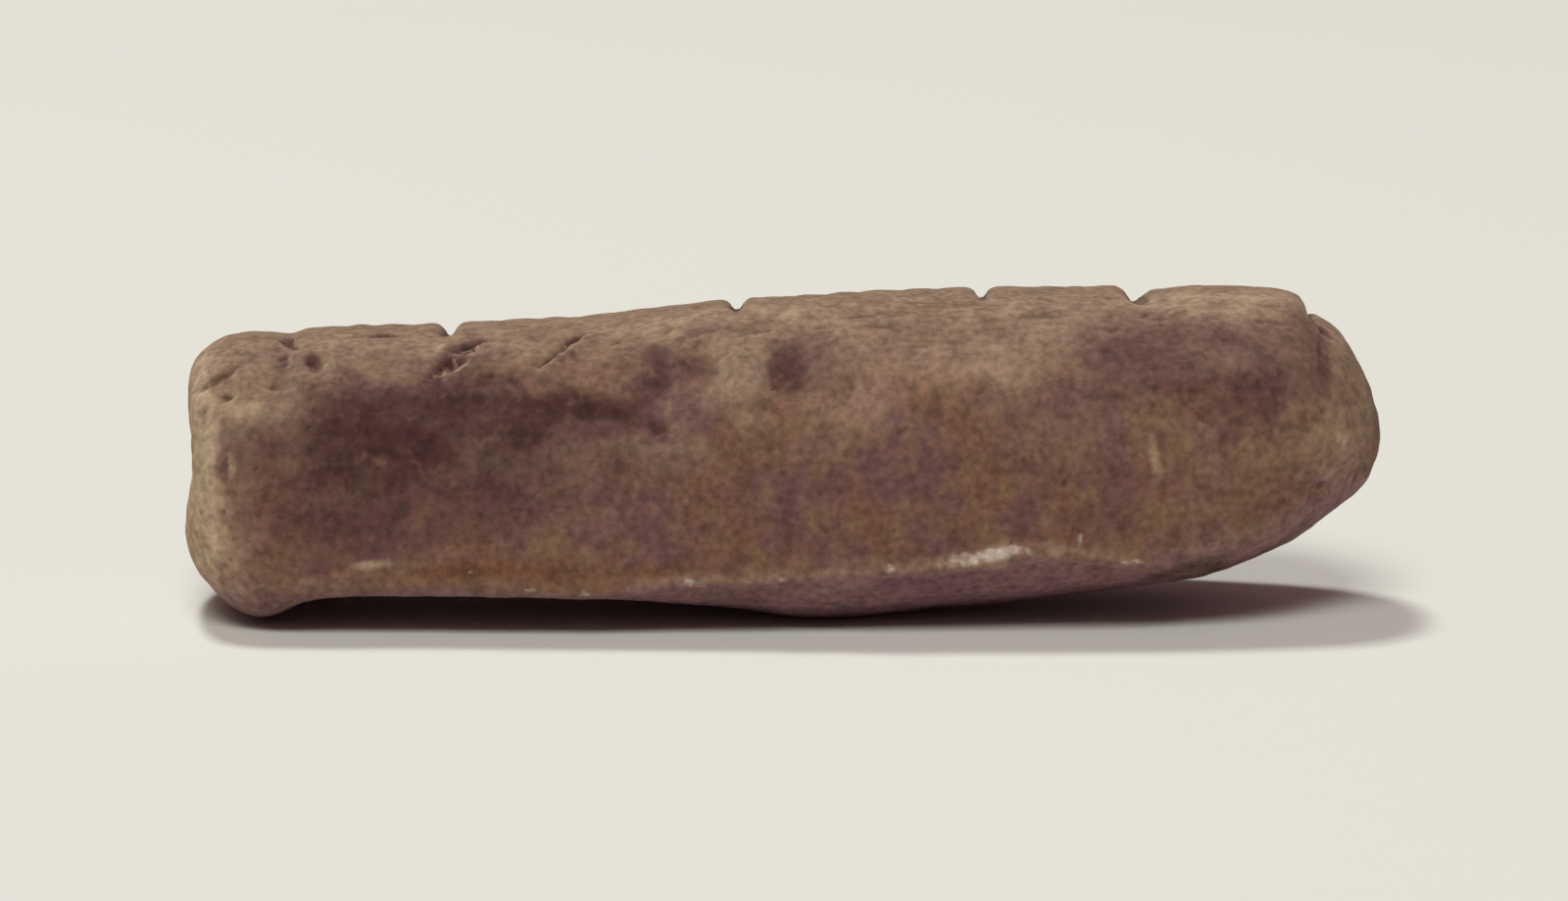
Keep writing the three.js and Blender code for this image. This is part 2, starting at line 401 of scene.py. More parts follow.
class Relief:
    """A geometry node tree that moves a skin along its normals and leaves a mask of where."""

    ripple_detail = 2.0

    def __init__(self, name: str, mask: str) -> None:
        """Start an empty tree.

        Args:
            name: The tree's name.
            mask: The mesh attribute that the tree leaves behind.
        """
        self.mask = mask
        self.tree = bpy.data.node_groups.new(name, "GeometryNodeTree")
        interface = self.tree.interface
        interface.new_socket(name="Geometry", in_out="INPUT", socket_type="NodeSocketGeometry")
        interface.new_socket(name="Geometry", in_out="OUTPUT", socket_type="NodeSocketGeometry")
        self.take("Clay", "NodeSocketMaterial", None)
        self.entry = self.node("NodeGroupInput")

    def take(self, name: str, kind: str, value: float | int | None) -> None:
        """Declare a named input.

        Args:
            name: The input's name.
            kind: The type of its socket.
            value: Its default, or None where the type has none.
        """
        socket = self.tree.interface.new_socket(name=name, in_out="INPUT", socket_type=kind)
        if value is not None:
            socket.default_value = value

    def node(
        self, kind: str, settings: dict | None = None, inputs: dict | None = None
    ) -> bpy.types.Node:
        """Add a node to this tree."""
        return add_node(self.tree, kind, settings, inputs)

    def given(self, name: str) -> bpy.types.NodeSocket:
        """Find the socket of a named input."""
        return find_socket(self.entry.outputs, name)

    def ripple(
        self,
        size: bpy.types.NodeSocket,
        stretch: tuple[float, float, float] = (1.0, 1.0, 1.0),
        shift: float = 0.0,
    ) -> bpy.types.NodeSocket:
        """Make a smooth pattern of rises and falls in space.

        Args:
            size: The size of one rise, in metres.
            stretch: How much longer the rises are along each axis.
            shift: An offset that gives another pattern.

        Returns:
            The pattern, from -1 to 1.
        """
        place = self.node(
            "ShaderNodeVectorMath",
            {"operation": "MULTIPLY_ADD"},
            {
                "Vector": self.node("GeometryNodeInputPosition").outputs[0],
                "Vector_001": tuple(1.0 / share for share in stretch),
                "Vector_002": (shift, shift, shift),
            },
        )
        scale = self.node(
            "ShaderNodeMath", {"operation": "DIVIDE"}, {"Value": 1.0, "Value_001": size}
        ).outputs[0]
        noise = self.node(
            "ShaderNodeTexNoise",
            None,
            {"Vector": place.outputs[0], "Scale": scale, "Detail": self.ripple_detail},
        )
        centred = self.node(
            "ShaderNodeMath",
            {"operation": "MULTIPLY_ADD"},
            {"Value": find_socket(noise.outputs, "Fac"), "Value_001": 2.0, "Value_002": -1.0},
        )
        return centred.outputs[0]

    def nearest(
        self, marks: bpy.types.NodeSocket, target: str, *names: str
    ) -> tuple[bpy.types.NodeSocket, ...]:
        """Find the mark that lies nearest to each point of the skin.

        Args:
            marks: Geometry whose points carry attributes.
            target: What the distance is taken to, EDGES or POINTS.
            names: The attributes to read.

        Returns:
            The distance to the marks, then each attribute at the nearest of their points.
        """
        near = self.node("GeometryNodeProximity", {"target_element": target})
        self.tree.links.new(marks, near.inputs[0])
        found = self.node("GeometryNodeSampleNearest", {"domain": "POINT"})
        self.tree.links.new(marks, found.inputs[0])
        read = [find_socket(near.outputs, "Distance")]
        for name in names:
            value = self.node(
                "GeometryNodeInputNamedAttribute", {"data_type": "FLOAT"}, {"Name": name}
            )
            sample = self.node(
                "GeometryNodeSampleIndex",
                {"data_type": "FLOAT", "domain": "POINT"},
                {"Geometry": marks, "Value": value.outputs[0], "Index": found.outputs[0]},
            )
            read.append(sample.outputs[0])
        return tuple(read)

    def sink(
        self,
        distance: bpy.types.NodeSocket,
        radius: bpy.types.NodeSocket,
        depth: bpy.types.NodeSocket,
    ) -> tuple[bpy.types.NodeSocket, bpy.types.NodeSocket]:
        """Sink the skin near a mark, with eased walls.

        Args:
            distance: How far each point is from the mark, in metres.
            radius: Where the mark ends, in metres.
            depth: How deep it is in its middle, in metres.

        Returns:
            How far within the mark each point is, from 0 to 1, and how deep it sinks, in metres.
        """
        share = self.node(
            "ShaderNodeMapRange",
            {"interpolation_type": "SMOOTHSTEP"},
            {"Value": distance, "From Min": radius, "From Max": 0.0},
        ).outputs[0]
        sunk = self.node(
            "ShaderNodeMath", {"operation": "MULTIPLY"}, {"Value": share, "Value_001": depth}
        ).outputs[0]
        return share, sunk

    def close(self, offset: bpy.types.NodeSocket, mask: bpy.types.NodeSocket, way: float) -> None:
        """End the tree.

        Args:
            offset: How far the skin moves, in metres.
            mask: The value to keep in the mesh.
            way: 1 to move it outwards, -1 inwards.
        """
        signed = self.node(
            "ShaderNodeMath", {"operation": "MULTIPLY"}, {"Value": offset, "Value_001": way}
        ).outputs[0]
        normal = self.node("GeometryNodeInputNormal").outputs[0]
        move = self.node(
            "ShaderNodeVectorMath", {"operation": "SCALE"}, {"Vector": normal, "Scale": signed}
        )
        kept = self.node(
            "GeometryNodeStoreNamedAttribute",
            {"data_type": "FLOAT", "domain": "POINT"},
            {"Geometry": self.given("Geometry"), "Name": self.mask, "Value": mask},
        )
        moved = self.node(
            "GeometryNodeSetPosition",
            None,
            {"Geometry": kept.outputs[0], "Offset": move.outputs[0]},
        )
        real = self.node("GeometryNodeRealizeInstances", None, {"Geometry": moved.outputs[0]})
        dressed = self.node(
            "GeometryNodeSetMaterial",
            None,
            {"Geometry": real.outputs[0], "Material": self.given("Clay")},
        )
        self.node("NodeGroupOutput", None, {"Geometry": dressed.outputs[0]})

    def apply(self, piece: bpy.types.Object, values: dict[str, object]) -> None:
        """Run the tree on a piece and keep the result as its plain mesh.

        Args:
            piece: The object to change.
            values: Values for named inputs that differ from their defaults.
        """
        modifier = piece.modifiers.new(self.tree.name, "NODES")
        modifier.node_group = self.tree
        for item in self.tree.interface.items_tree:
            if item.in_out == "INPUT" and item.name in values:
                modifier[item.identifier] = values[item.name]
        bake_modifiers(piece)


def bake_modifiers(piece: bpy.types.Object) -> None:
    """Turn a piece and its modifiers into one plain mesh, and take the modifiers off.

    Args:
        piece: The object to change.
    """
    graph = bpy.context.evaluated_depsgraph_get()
    made = bpy.data.meshes.new_from_object(
        piece.evaluated_get(graph), preserve_all_data_layers=True, depsgraph=graph
    )
    piece.modifiers.clear()
    old = piece.data
    piece.data = made
    bpy.data.meshes.remove(old)


class ThumbedClay(Relief):
    """Low lumps and lengthwise strokes left by the fingers that shaped the bar."""

    def __init__(self) -> None:
        """Build the tree."""
        super().__init__("Thumbed clay", "lumps")
        rise = 0.0
        # Each rise's size and height in millimetres, its stretch, and the shift of its pattern.
        for name, size, height, stretch, shift in (
            ("Lump", 5.0, 0.16, (1.3, 1.0, 1.0), 0.0),
            ("Stroke", 1.7, 0.075, (2.6, 1.0, 1.0), 0.37),
            ("Grit", 0.6, 0.034, (1.0, 1.0, 1.0), 0.73),
        ):
            self.take(f"{name} size", "NodeSocketFloat", size * MM)
            self.take(f"{name} height", "NodeSocketFloat", height * MM)
            pattern = self.ripple(self.given(f"{name} size"), stretch, shift)
            rise = self.node(
                "ShaderNodeMath",
                {"operation": "MULTIPLY_ADD"},
                {"Value": pattern, "Value_001": self.given(f"{name} height"), "Value_002": rise},
            ).outputs[0]
        self.close(rise, pattern, 1.0)


class ScoredLines(Relief):
    """Grooves that follow guide lines lying on the skin, with ragged worn lips."""

    def __init__(self) -> None:
        """Build the tree."""
        super().__init__("Scored lines", "cut")
        self.take("Guides", "NodeSocketObject", None)
        self.take("Raggedness", "NodeSocketFloat", 0.3 * MM)
        self.take("Ragged size", "NodeSocketFloat", 1.1 * MM)
        self.take("Depth of full dirt", "NodeSocketFloat", 0.18 * MM)
        guides = self.node("GeometryNodeObjectInfo", None, {"Object": self.given("Guides")})
        lines = find_socket(guides.outputs, "Geometry")
        away, half_width, depth = self.nearest(lines, "EDGES", "half_width", "depth")
        distance = self.node(
            "ShaderNodeMath",
            {"operation": "MULTIPLY_ADD"},
            {
                "Value": self.ripple(self.given("Ragged size"), shift=0.11),
                "Value_001": self.given("Raggedness"),
                "Value_002": away,
            },
        )
        sunk = self.sink(distance.outputs[0], half_width, depth)[1]
        mask = self.node(
            "ShaderNodeMath",
            {"operation": "DIVIDE"},
            {"Value": sunk, "Value_001": self.given("Depth of full dirt")},
        )
        self.close(sunk, mask.outputs[0], -1.0)


class Pores(Relief):
    """Pits where grit and straw fell or burned out, scattered over the skin by its porosity."""

    def __init__(self, name: str, seed: int, per_mm2: float, least: float, most: float) -> None:
        """Build the tree.

        Args:
            name: The tree's name.
            seed: The seed of the scatter.
            per_mm2: Pores on each square millimetre where the porosity is 1.
            least: The smallest pore's radius, in millimetres.
            most: The largest pore's radius, in millimetres.
        """
        super().__init__(name, name.lower().replace(" ", "_"))
        self.take("Per square metre", "NodeSocketFloat", per_mm2 / MM**2)
        self.take("Least radius", "NodeSocketFloat", least * MM)
        self.take("Most radius", "NodeSocketFloat", most * MM)
        self.take("Depth share", "NodeSocketFloat", 0.4)
        self.take("Seed", "NodeSocketInt", seed)
        porosity = self.node(
            "GeometryNodeInputNamedAttribute", {"data_type": "FLOAT"}, {"Name": "porosity"}
        )
        density = self.node(
            "ShaderNodeMath",
            {"operation": "MULTIPLY"},
            {"Value": porosity.outputs[0], "Value_001": self.given("Per square metre")},
        )
        scatter = self.node(
            "GeometryNodeDistributePointsOnFaces",
            {"distribute_method": "RANDOM"},
            {
                "Mesh": self.given("Geometry"),
                "Density": density.outputs[0],
                "Seed": self.given("Seed"),
            },
        )
        radius = self.node(
            "FunctionNodeRandomValue",
            {"data_type": "FLOAT"},
            {
                "Min_001": self.given("Least radius"),
                "Max_001": self.given("Most radius"),
                "Seed": self.given("Seed"),
            },
        )
        dots = self.node(
            "GeometryNodeStoreNamedAttribute",
            {"data_type": "FLOAT", "domain": "POINT"},
            {
                "Geometry": find_socket(scatter.outputs, "Points"),
                "Name": "radius_of_pore",
                "Value": find_socket(radius.outputs, "Value_001"),
            },
        ).outputs[0]
        away, reach = self.nearest(dots, "POINTS", "radius_of_pore")
        depth = self.node(
            "ShaderNodeMath",
            {"operation": "MULTIPLY"},
            {"Value": reach, "Value_001": self.given("Depth share")},
        )
        share, sunk = self.sink(away, reach, depth.outputs[0])
        self.close(sunk, share, -1.0)


@dataclass(frozen=True)
class Pattern:
    """A noise in the clay's colour. The size of one lump is in millimetres."""

    size: float
    detail: float
    shift: float


PATTERNS = {
    "mottle": Pattern(3.6, 4.0, 0.0),  # where the flame and the ash lay against the clay
    "fleck": Pattern(1.2, 3.0, 3.1),  # iron and lime in the clay
    "grain": Pattern(0.34, 2.0, 7.7),  # silt is finer, and is drawn this coarse so that it shows
    "grit": Pattern(0.8, 2.0, 5.9),  # dark sand
    "bloom": Pattern(0.9, 3.0, 9.2),  # pale salts that dried on the skin
    "chips": Pattern(0.34, 4.0, 11.3),  # the broken edge of the lime crust
}
# The shares of the patterns that together lighten and darken the whole skin.
GRAINED = (("grain", 0.85), ("fleck", 0.45), ("mottle", 0.2))


@dataclass(frozen=True)
class Coat:
    """One colour over the clay, where a mesh attribute and shares of the patterns add up.

    The coat starts where the sum is low, and has its full strength where the sum is high.
    """

    shade: str
    strength: float
    low: float
    high: float
    mask: str = ""
    patterns: tuple[tuple[str, float], ...] = ()


@dataclass(frozen=True)
class FiredClay:
    """Earthenware, shaped by hand, fired in an open fire, then buried and handled.

    The eye sees a matt skin that is brown where it was smoked and light tan where it burned clean
    or wore pale, with a fine grit, darker hollows, cuts and pores, and lime on the worn lower
    edge.
    Light and shade are painted into the colour too: a paler crown, squared end and heel, painted
    highlights along the lower edge, and painted shade in the dents, on the lower facet and below.
    """

    brown: str = "#7c5a4a"
    mauve: str = "#72514e"
    olive: str = "#7a6246"
    # Pale worn clay, and also painted light on the crown, the squared end and the heel.
    buff: str = "#917b63"
    # Pinkish clay and salt bloom, and also painted highlights along the lower edge.
    blush: str = "#92715f"
    # Whitish scratches and wear, and also painted light on the crown's lip, the left end and the
    # heel.
    bone: str = "#c3ac8c"
    rust: str = "#7d5038"
    # Purplish blotches, and also painted shade on the lower facet.
    plum: str = "#5d3f3d"
    # Painted shade: the colour of the lower facet and the underside in shade.
    lilac: str = "#86616a"
    # Smoke clouds from the fire, and also painted shade in the dents, on the lower edge and
    # below.
    smoke: str = "#482e2b"
    # The dark brown of the hollows, cuts, pores and dark grit.
    darkening: str = "#422b24"
    lime: str = "#d2c4b7"
    roughness: float = 0.93
    specular: float = 0.25
    grain_height: float = 0.03
    grain_strength: float = 0.8
    grain_from: Span = (0.55, 0.95)
    grain_to: Span = (0.69, 1.31)

    def coats(self) -> tuple[Coat, ...]:
        """List the colours in the order they lie, from the body of the clay outwards.

        Returns:
            The coats.
        """
        edge = (("mottle", 0.55), ("fleck", 0.4))
        # Besides stains, these tints also hold painted light, painted highlights and painted
        # shade.
        tints = (
            (Tint.BUFF_AND_PAINTED_LIGHT, self.buff, 0.92),
            (Tint.BLUSH_AND_PAINTED_HIGHLIGHT, self.blush, 0.85),
            (Tint.RUST, self.rust, 0.8),
            (Tint.PLUM_AND_PAINTED_SHADE, self.plum, 0.82),
            (Tint.PAINTED_UNDERSIDE_SHADE, self.lilac, 0.85),
            (Tint.SMOKE, self.smoke, 0.9),
            (Tint.OLIVE, self.olive, 0.6),
            (Tint.BONE, self.bone, 0.9),
        )
        return (
            Coat(self.mauve, 1.0, 0.42, 0.6, patterns=(("mottle", 1.0),)),
            Coat(self.olive, 0.6, 0.5, 0.64, patterns=(("fleck", 1.0),)),
            *(Coat(shade, most, 0.6, 1.35, tint.value, edge) for tint, shade, most in tints),
            # Darker in hollows, cuts and pores, and paler on raised parts.
            Coat(self.darkening, 0.5, 0.55, 0.95, "cavity"),
            Coat(self.buff, 0.3, 0.4, 0.05, "cavity"),
            Coat(self.darkening, 0.55, 0.0, 1.0, "cut"),
            Coat(self.darkening, 0.6, 0.0, 1.0, "pores"),
            Coat(self.darkening, 0.55, 0.0, 1.0, "coarse_pores"),
            Coat(self.darkening, 0.25, 0.58, 0.72, patterns=(("grit", 1.0),)),
            Coat(self.blush, 0.28, 0.58, 0.74, patterns=(("bloom", 1.0),)),
            Coat(self.lime, 0.8, 1.0, 1.7, Tint.LIME.value, (("chips", 1.3),)),
        )

    def material(self) -> bpy.types.Material:
        """Build the material.

        Returns:
            The finished material.
        """
        # The eye sees a dry matt skin: no sheen, smoky blotches, pale worn edges, and painted
        # light and shade.
        material = bpy.data.materials.new("Low-fired clay, smoked and worn")
        material.use_nodes = True
        tree = material.node_tree
        shader = next(n for n in tree.nodes if n.type == "BSDF_PRINCIPLED")
        patterns = self.patterns(tree)
        colour = linear(self.brown)
        for coat in self.coats():
            mask = 0.0
            if coat.mask:
                layer = add_node(tree, "ShaderNodeAttribute", {"attribute_name": coat.mask})
                mask = layer.outputs["Fac"]
            amount = add_node(
                tree,
                "ShaderNodeMapRange",
                {"interpolation_type": "SMOOTHSTEP"},
                {
                    "Value": self.weighed(tree, mask, patterns, coat.patterns),
                    "From Min": coat.low,
                    "From Max": coat.high,
                    "To Max": coat.strength,
                },
            )
            laid = add_node(
                tree,
                "ShaderNodeMix",
                {"data_type": "RGBA"},
                {
                    "Factor_Float": amount.outputs[0],
                    "A_Color": colour,
                    "B_Color": linear(coat.shade),
                },
            )
            colour = find_socket(laid.outputs, "Result_Color")
        value = add_node(
            tree,
            "ShaderNodeMapRange",
            None,
            {
                "Value": self.weighed(tree, 0.0, patterns, GRAINED),
                "From Min": self.grain_from[0],
                "From Max": self.grain_from[1],
                "To Min": self.grain_to[0],
                "To Max": self.grain_to[1],
            },
        )
        grained = add_node(
            tree,
            "ShaderNodeVectorMath",
            {"operation": "SCALE"},
            {"Vector": colour, "Scale": value.outputs[0]},
        )
        tree.links.new(grained.outputs[0], shader.inputs["Base Color"])
        shader.inputs["Roughness"].default_value = self.roughness
        shader.inputs["Specular IOR Level"].default_value = self.specular
        bump = add_node(
            tree,
            "ShaderNodeBump",
            None,
            {
                "Height": patterns["grain"],
                "Distance": self.grain_height * MM,
                "Strength": self.grain_strength,
            },
        )
        tree.links.new(bump.outputs[0], shader.inputs["Normal"])
        return material

    def patterns(self, tree: bpy.types.NodeTree) -> dict[str, bpy.types.NodeSocket]:
        """Add every pattern to the material, each at its real size.

        Args:
            tree: The material's tree.

        Returns:
            Each pattern's socket by its name.
        """
        place = add_node(tree, "ShaderNodeTexCoord").outputs["Object"]
        made = {}
        for name, pattern in PATTERNS.items():
            moved = add_node(
                tree,
                "ShaderNodeMapping",
                None,
                {"Vector": place, "Location": (pattern.shift, pattern.shift, pattern.shift)},
            )
            texture = add_node(
                tree,
                "ShaderNodeTexNoise",
                None,
                {
                    "Vector": moved.outputs[0],
                    "Scale": 1.0 / (pattern.size * MM),
                    "Detail": pattern.detail,
                },
            )
            made[name] = find_socket(texture.outputs, "Fac")
        return made

    def weighed(
        self,
        tree: bpy.types.NodeTree,
        start: bpy.types.NodeSocket | float,
        patterns: dict[str, bpy.types.NodeSocket],
        shares: tuple[tuple[str, float], ...],
    ) -> bpy.types.NodeSocket | float:
        """Add shares of some patterns to a value.

        Args:
            tree: The material's tree.
            start: The value to add to.
            patterns: Every pattern's socket by its name.
            shares: The name and the share of each pattern to add.

        Returns:
            The sum.
        """
        total = start
        for name, share in shares:
            total = add_node(
                tree,
                "ShaderNodeMath",
                {"operation": "MULTIPLY_ADD"},
                {"Value": patterns[name], "Value_001": share, "Value_002": total},
            ).outputs[0]
        return total


@dataclass(frozen=True)
class TableTop:
    """Laminate board, pressed smooth. The eye sees a warm off-white with a dull, even sheen."""

    colour: str = "#e7ebdf"
    roughness: float = 0.7
    specular: float = 0.2

    def material(self) -> bpy.types.Material:
        """Build the material.

        Returns:
            The finished material.
        """
        # The eye sees an even off-white that takes soft shadows and hardly reflects.
        material = bpy.data.materials.new("Laminate, pressed smooth")
        material.use_nodes = True
        shader = next(n for n in material.node_tree.nodes if n.type == "BSDF_PRINCIPLED")
        shader.inputs["Base Color"].default_value = linear(self.colour)
        shader.inputs["Roughness"].default_value = self.roughness
        shader.inputs["Specular IOR Level"].default_value = self.specular
        return material


@dataclass(frozen=True)
class CrownCarving:
    """The carving on the crown: cross cuts, a border line behind, and rows of slanted strokes."""

    cross_cuts: tuple[float, ...] = (0.2192, 0.4605, 0.6657, 0.7938)
    cross_span: Span = (0.37, 0.84)
    nose_cut: float = 0.939
    nose_span: Span = (0.34, 0.8)
    borders: tuple[Span, ...] = ((0.1, 0.201), (0.239, 0.441), (0.48, 0.648), (0.684, 0.912))
    border_across: tuple[float, float] = (0.715, 0.71)
    stroke_rows: tuple[tuple[float, float, int], ...] = (
        (0.116, 0.2, 3),
        (0.244, 0.436, 6),
        (0.488, 0.64, 5),
        (0.69, 0.772, 3),
    )
    stroke_span: Span = (0.537, 0.672)
    stroke_lean: float = 0.011

    def cuts(self) -> tuple[Cut, ...]:
        """List the cuts.

        Returns:
            The cuts, all on the crown.
        """
        near, far = self.cross_span
        cuts = [Cut(((x, near), (x, far)), 0.7, 0.14, 0.15) for x in self.cross_cuts]
        cuts.append(Cut(tuple((self.nose_cut, y) for y in self.nose_span), 0.8, 0.18))
        for ends in self.borders:
            cuts.append(Cut(tuple(zip(ends, self.border_across)), 0.6, 0.16, 0.1))
        for start, end, count in self.stroke_rows:
            for i in range(count):
                x = start + (end - start) * (i + 0.5) / count
                ends = (x - self.stroke_lean, x + self.stroke_lean)
                cuts.append(Cut(tuple(zip(ends, self.stroke_span)), 0.5, 0.12))
        return tuple(cuts)


@dataclass(frozen=True)
class ShoulderScratches:
    """Short slanted scratches along the front shoulder, where the clay is most worn.

    Width and depth are in millimetres, and the other spans are shares of the box.
    """

    seed: int = 7
    count: int = 34
    along: Span = (0.05, 0.9)
    across: Span = (0.17, 0.3)
    reach: Span = (0.006, 0.02)
    slant: Span = (-0.01, 0.05)
    width: Span = (0.35, 0.6)
    depth: Span = (0.05, 0.11)
    fade: float = 0.4

    def cuts(self) -> tuple[Cut, ...]:
        """Scatter the scratches.

        Returns:
            The cuts, all on the crown.
        """
        draw = np.random.default_rng(self.seed)
        cuts = []
        for _ in range(self.count):
            x, y = draw.uniform(*self.along), draw.uniform(*self.across)
            reach, slant = draw.uniform(*self.reach), draw.uniform(*self.slant)
            width, depth = draw.uniform(*self.width), draw.uniform(*self.depth)
            cuts.append(Cut(((x, y), (x + reach, y + slant)), width, depth, self.fade))
        return tuple(cuts)


# The lines in the clay, by the side they lie on. The long ridges are the worn lower edge.
CUTS = {
    Side.CROWN: (
        *CrownCarving().cuts(),
        *ShoulderScratches().cuts(),
        Cut(((0.111, 0.411), (0.201, 0.398)), 0.55, 0.14, 0.3),
        Cut(((0.53, 0.289), (0.596, 0.308)), 0.5, 0.1, 0.3),
        Cut(((0.588, 0.408), (0.64, 0.372), (0.696, 0.34)), 0.55, 0.14, 0.3),
    ),
    Side.FRONT: (
        Cut(((0.258, 0.86), (0.238, 0.82), (0.213, 0.772)), 2.0, -0.24, 0.2),
        Cut(((0.256, 0.858), (0.25, 0.848), (0.244, 0.83)), 0.9, 0.14, 0.4),
        Cut(((0.248, 0.86), (0.234, 0.835)), 0.7, 0.16, 0.4),
        Cut(((0.232, 0.80), (0.205, 0.775)), 0.9, 0.14, 0.4),
        Cut(((0.214, 0.84), (0.228, 0.858)), 1.0, -0.12, 0.4),
        Cut(((0.214, 0.79), (0.235, 0.775)), 1.0, -0.12, 0.4),
        Cut(((0.343, 0.888), (0.322, 0.835), (0.295, 0.78)), 1.8, -0.22, 0.2),
        Cut(((0.335, 0.875), (0.32, 0.852)), 0.8, 0.14, 0.4),
        Cut(((0.318, 0.825), (0.303, 0.805)), 0.8, 0.1, 0.4),
        Cut(((0.44, 0.92), (0.47, 0.912), (0.51, 0.92)), 0.5, 0.1, 0.3),
        Cut(((0.52, 0.918), (0.555, 0.93), (0.6, 0.925)), 0.5, 0.1, 0.3),
        Cut(((0.69, 0.955), (0.74, 0.958)), 0.45, 0.1, 0.3),
        Cut(((0.86, 0.945), (0.9, 0.94), (0.925, 0.925)), 0.5, 0.1, 0.3),
        Cut(((0.3, 0.86), (0.285, 0.82)), 0.8, -0.1, 0.4),
        Cut(((0.052, 0.80), (0.035, 0.765), (0.012, 0.725)), 0.8, 0.28, 0.3),
        Cut(((0.05, 0.733), (0.038, 0.712)), 0.7, 0.22, 0.4),
        Cut(((0.08, 0.845), (0.105, 0.842)), 0.7, 0.2, 0.3),
        Cut(((0.377, 0.87), (0.42, 0.885), (0.48, 0.89), (0.52, 0.9)), 0.9, -0.1, 0.3),
        Cut(((0.937, 0.92), (0.945, 0.895), (0.957, 0.86)), 0.9, 0.26, 0.3),
        Cut(((0.818, 0.735), (0.838, 0.685), (0.853, 0.65)), 0.4, 0.12, 0.3),
        Cut(((0.787, 0.71), (0.79, 0.68)), 0.35, 0.1, 0.3),
        Cut(
            (
                (0.06, 0.13), (0.157, 0.2), (0.244, 0.15),
                (0.339, 0.138), (0.421, 0.163), (0.541, 0.199),
            ),
            1.0, -0.12, 0.1,
        ),
        Cut(
            (
                (0.541, 0.199), (0.618, 0.215), (0.697, 0.262),
                (0.75, 0.257), (0.798, 0.214), (0.85, 0.17),
            ),
            1.1, -0.2, 0.1,
        ),
    ),
    Side.BACK: (
        Cut(((0.29, 0.87), (0.26, 0.77)), 1.0, 0.3, 0.3),
        Cut(((0.6, 0.9), (0.56, 0.8)), 1.0, 0.3, 0.3),
    ),
}

# The dents and swellings that fingers and wear left, by the side they lie on.
HOLLOWS = {
    Side.FRONT: (
        Hollow((0.117, 0.812), 0.45, 0.45, 0.35, 0.35, 0.4),
        Hollow((0.09, 0.8), 1.0, 0.8, 0.7, 0.5, 0.15),
        Hollow((0.394, 0.8), 0.9, 1.2, 1.1, 0.8, 0.28),
        Hollow((0.435, 0.805), 1.0, 0.8, 1.3, 1.0, 0.24),
        Hollow((0.493, 0.81), 0.6, 1.8, 1.2, 1.1, 0.36, 12.0),
        Hollow((0.403, 0.645), 0.7, 0.5, 0.4, 0.4, 0.15),
        Hollow((0.36, 0.68), 2.0, 1.6, 0.6, 0.9, 0.16),
        Hollow((0.467, 0.8), 0.55, 0.5, 2.4, 1.4, -0.24, 10.0),
        Hollow((0.4, 0.58), 3.0, 2.0, 0.7, 0.8, -0.1),
        Hollow((0.556, 0.779), 0.3, 0.3, 0.25, 0.25, 0.16),
        Hollow((0.479, 0.702), 0.5, 0.5, 0.25, 0.25, 0.16),
        Hollow((0.406, 0.9), 0.25, 0.25, 0.2, 0.2, 0.16),
        Hollow((0.046, 0.533), 0.22, 0.22, 0.4, 0.4, 0.22),
        Hollow((0.73, 0.485), 0.25, 0.25, 0.25, 0.25, 0.16),
        Hollow((0.945, 0.435), 0.3, 0.3, 0.25, 0.25, 0.22),
        Hollow((0.165, 0.225), 1.2, 1.6, 0.2, 0.3, -0.1),
        Hollow((0.25, 0.3), 6.0, 7.0, 0.5, 1.6, 0.16),
        Hollow((0.62, 0.8), 4.0, 4.0, 1.4, 1.0, -0.14),
        Hollow((0.555, 0.7), 1.2, 1.2, 0.8, 0.8, -0.12),
        Hollow((0.84, 0.73), 1.5, 3.0, 1.5, 1.2, 0.14),
    ),
    Side.CROWN: (Hollow((0.803, 0.5), 0.7, 1.3, 5.0, 5.0, 0.26),),
    Side.SQUARE_END: (Hollow((0.3, 0.5), 4.0, 4.0, 2.0, 2.0, 0.3),),
}
